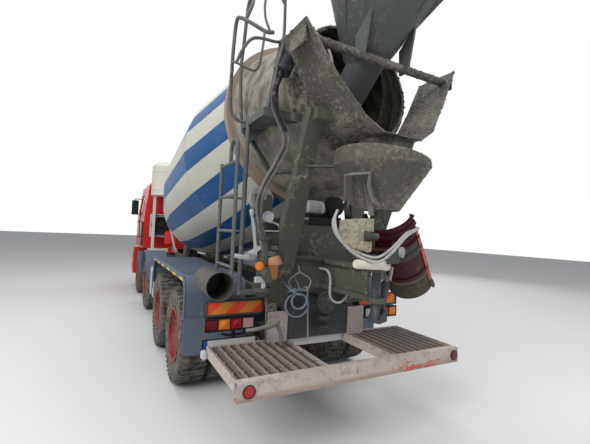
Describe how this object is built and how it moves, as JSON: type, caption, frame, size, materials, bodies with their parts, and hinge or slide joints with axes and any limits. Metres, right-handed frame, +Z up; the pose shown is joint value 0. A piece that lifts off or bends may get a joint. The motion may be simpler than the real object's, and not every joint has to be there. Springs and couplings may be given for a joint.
{
  "type": "concrete mixer truck",
  "caption": "Four-axle concrete mixer truck with a blue drum, rear hoppers, folding chute, rear step and red cab, used and crusted with cement.",
  "frame": {"origin": "middle of the whole truck's length and width, on the ground under the tyres", "axes": "+X forward along the truck, +Y to its left, +Z up"},
  "size_m": [9.96, 2.66, 3.98],
  "materials": {
    "drum_blue": "satin",
    "cab_red": "gloss",
    "frame_grey": "matte",
    "steel_grey": "satin",
    "crusted": "matte",
    "cream_paint": "satin",
    "step_paint": "matte",
    "maroon_paint": "satin",
    "guard_grey": "satin",
    "bare_steel": "satin",
    "cast": "matte",
    "silver": "satin",
    "lamp": "gloss",
    "black_plastic": "matte",
    "hose": "matte",
    "tyre": "matte",
    "glass": "gloss",
    "seat": "matte"
  },
  "bodies": {
    "root": {"chassis_frame": "frame_grey", "axles": "cast", "engine_block": "cast", "superstructure": "steel_grey", "drum_gearbox": "cast", "collar": "crusted", "discharge_hopper": "crusted", "rear_step": "step_paint", "rear_lamps": "lamp", "mudguards": "guard_grey", "ladder": "steel_grey", "water_tank": "cream_paint", "oil_cooler": "silver", "side_tanks": "silver", "silencer": "bare_steel", "bumper": "cab_red", "rear_pipes": "frame_grey", "hanging_hose": "hose"},
    "cab": {"cab_shell": "cab_red", "cab_glass": "glass", "cab_interior": "black_plastic", "seats": "seat", "cab_trim": "black_plastic"},
    "door_left": {"door_left": "cab_red", "door_glass_left": "glass"},
    "door_right": {"door_right": "cab_red", "door_glass_right": "glass"},
    "drum": {"drum_shell": "drum_blue", "drum_ring": "bare_steel", "drum_blades": "crusted"},
    "roller_left": {"roller_left": "bare_steel"},
    "roller_right": {"roller_right": "bare_steel"},
    "loading_hopper": {"loading_hopper": "steel_grey"},
    "chute_swivel": {"chute_bracket": "cream_paint"},
    "chute": {"chute": "maroon_paint"},
    "chute_extension": {"chute_extension": "maroon_paint"},
    "lift_barrel": {"lift_barrel": "cream_paint"},
    "lift_rod": {"lift_rod": "bare_steel"},
    "knuckle_1_left": {"knuckle_1_left": "cast"},
    "wheel_1_left": {"tyre_1_left": "tyre", "rim_1_left": "cab_red"},
    "knuckle_1_right": {"knuckle_1_right": "cast"},
    "wheel_1_right": {"tyre_1_right": "tyre", "rim_1_right": "cab_red"},
    "knuckle_2_left": {"knuckle_2_left": "cast"},
    "wheel_2_left": {"tyre_2_left": "tyre", "rim_2_left": "cab_red"},
    "knuckle_2_right": {"knuckle_2_right": "cast"},
    "wheel_2_right": {"tyre_2_right": "tyre", "rim_2_right": "cab_red"},
    "wheels_3_left": {"tyres_3_left": "tyre", "rims_3_left": "cab_red"},
    "wheels_3_right": {"tyres_3_right": "tyre", "rims_3_right": "cab_red"},
    "wheels_4_left": {"tyres_4_left": "tyre", "rims_4_left": "cab_red"},
    "wheels_4_right": {"tyres_4_right": "tyre", "rims_4_right": "cab_red"}
  },
  "joints": [
    {"name": "cab_tilt", "type": "hinge", "parent": "root", "child": "cab", "pos_m": [4.79, 0, 1], "axis": [0, 1, 0], "range_deg": [0, 50]},
    {"name": "door_left", "type": "hinge", "parent": "cab", "child": "door_left", "pos_m": [4.683, 1.152, 1.64], "axis": [0, 0, -1], "range_deg": [0, 70]},
    {"name": "door_right", "type": "hinge", "parent": "cab", "child": "door_right", "pos_m": [4.683, -1.152, 1.64], "axis": [0, 0, 1], "range_deg": [0, 70]},
    {"name": "drum_turn", "type": "hinge", "parent": "root", "child": "drum", "pos_m": [-4, 0, 3.18], "axis": [0.981, 0, -0.1942], "continuous": true},
    {"name": "roller_left", "type": "hinge", "parent": "root", "child": "roller_left", "pos_m": [-3.2457, 0.59382, 2.09849], "axis": [0.981, 0, -0.1942], "continuous": true},
    {"name": "roller_right", "type": "hinge", "parent": "root", "child": "roller_right", "pos_m": [-3.2457, -0.59382, 2.09849], "axis": [0.981, 0, -0.1942], "continuous": true},
    {"name": "loading_hopper_tilt", "type": "hinge", "parent": "root", "child": "loading_hopper", "pos_m": [-4.34, 0, 3.24], "axis": [0, -1, 0], "range_deg": [0, 45]},
    {"name": "chute_swing", "type": "hinge", "parent": "root", "child": "chute_swivel", "pos_m": [-4.37, 0, 1.5], "axis": [0, 0, 1], "range_deg": [-170, 0]},
    {"name": "chute_lift", "type": "hinge", "parent": "chute_swivel", "child": "chute", "pos_m": [-4.32119, -0.10963, 1.65], "axis": [-0.9135, -0.4067, 0], "range_deg": [0, 40]},
    {"name": "extension_fold", "type": "hinge", "parent": "chute", "child": "chute_extension", "pos_m": [-4.04759, -0.72414, 1.33203], "axis": [0.9135, 0.4067, 0], "range_deg": [0, 180]},
    {"name": "lift_foot", "type": "hinge", "parent": "chute_swivel", "child": "lift_barrel", "pos_m": [-4.33746, -0.07308, 1.14], "axis": [-0.9135, -0.4067, 0], "range_deg": [-3, 0]},
    {"name": "lift_stroke", "type": "slide", "parent": "lift_barrel", "child": "lift_rod", "axis": [0.1721, -0.3866, 0.906], "range_m": [0, 0.14]},
    {"name": "steer_1_left", "type": "hinge", "parent": "root", "child": "knuckle_1_left", "pos_m": [3.58, 0.87, 0.538], "axis": [0, 0, 1], "range_deg": [-35, 35]},
    {"name": "wheel_1_left", "type": "hinge", "parent": "knuckle_1_left", "child": "wheel_1_left", "pos_m": [3.58, 1.03, 0.538], "axis": [0, 1, 0], "continuous": true},
    {"name": "steer_1_right", "type": "hinge", "parent": "root", "child": "knuckle_1_right", "pos_m": [3.58, -0.87, 0.538], "axis": [0, 0, 1], "range_deg": [-35, 35]},
    {"name": "wheel_1_right", "type": "hinge", "parent": "knuckle_1_right", "child": "wheel_1_right", "pos_m": [3.58, -1.03, 0.538], "axis": [0, 1, 0], "continuous": true},
    {"name": "steer_2_left", "type": "hinge", "parent": "root", "child": "knuckle_2_left", "pos_m": [1.59, 0.87, 0.538], "axis": [0, 0, 1], "range_deg": [-22, 22]},
    {"name": "wheel_2_left", "type": "hinge", "parent": "knuckle_2_left", "child": "wheel_2_left", "pos_m": [1.59, 1.03, 0.538], "axis": [0, 1, 0], "continuous": true},
    {"name": "steer_2_right", "type": "hinge", "parent": "root", "child": "knuckle_2_right", "pos_m": [1.59, -0.87, 0.538], "axis": [0, 0, 1], "range_deg": [-22, 22]},
    {"name": "wheel_2_right", "type": "hinge", "parent": "knuckle_2_right", "child": "wheel_2_right", "pos_m": [1.59, -1.03, 0.538], "axis": [0, 1, 0], "continuous": true},
    {"name": "wheels_3_left", "type": "hinge", "parent": "root", "child": "wheels_3_left", "pos_m": [-0.97, 0.918, 0.538], "axis": [0, 1, 0], "continuous": true},
    {"name": "wheels_3_right", "type": "hinge", "parent": "root", "child": "wheels_3_right", "pos_m": [-0.97, -0.918, 0.538], "axis": [0, 1, 0], "continuous": true},
    {"name": "wheels_4_left", "type": "hinge", "parent": "root", "child": "wheels_4_left", "pos_m": [-2.35, 0.918, 0.538], "axis": [0, 1, 0], "continuous": true},
    {"name": "wheels_4_right", "type": "hinge", "parent": "root", "child": "wheels_4_right", "pos_m": [-2.35, -0.918, 0.538], "axis": [0, 1, 0], "continuous": true}
  ],
  "couplings": [
    {"joint": "roller_left", "follows": "drum_turn", "ratio": -7.72},
    {"joint": "roller_right", "follows": "drum_turn", "ratio": -7.72},
    {"joint": "lift_foot", "follows": "chute_lift", "ratio": -0.07},
    {"joint": "lift_stroke", "follows": "chute_lift", "m_per_rad": 0.196},
    {"joint": "steer_1_right", "follows": "steer_1_left", "ratio": 1},
    {"joint": "steer_2_left", "follows": "steer_1_left", "ratio": 0.62},
    {"joint": "steer_2_right", "follows": "steer_1_left", "ratio": 0.62}
  ]
}
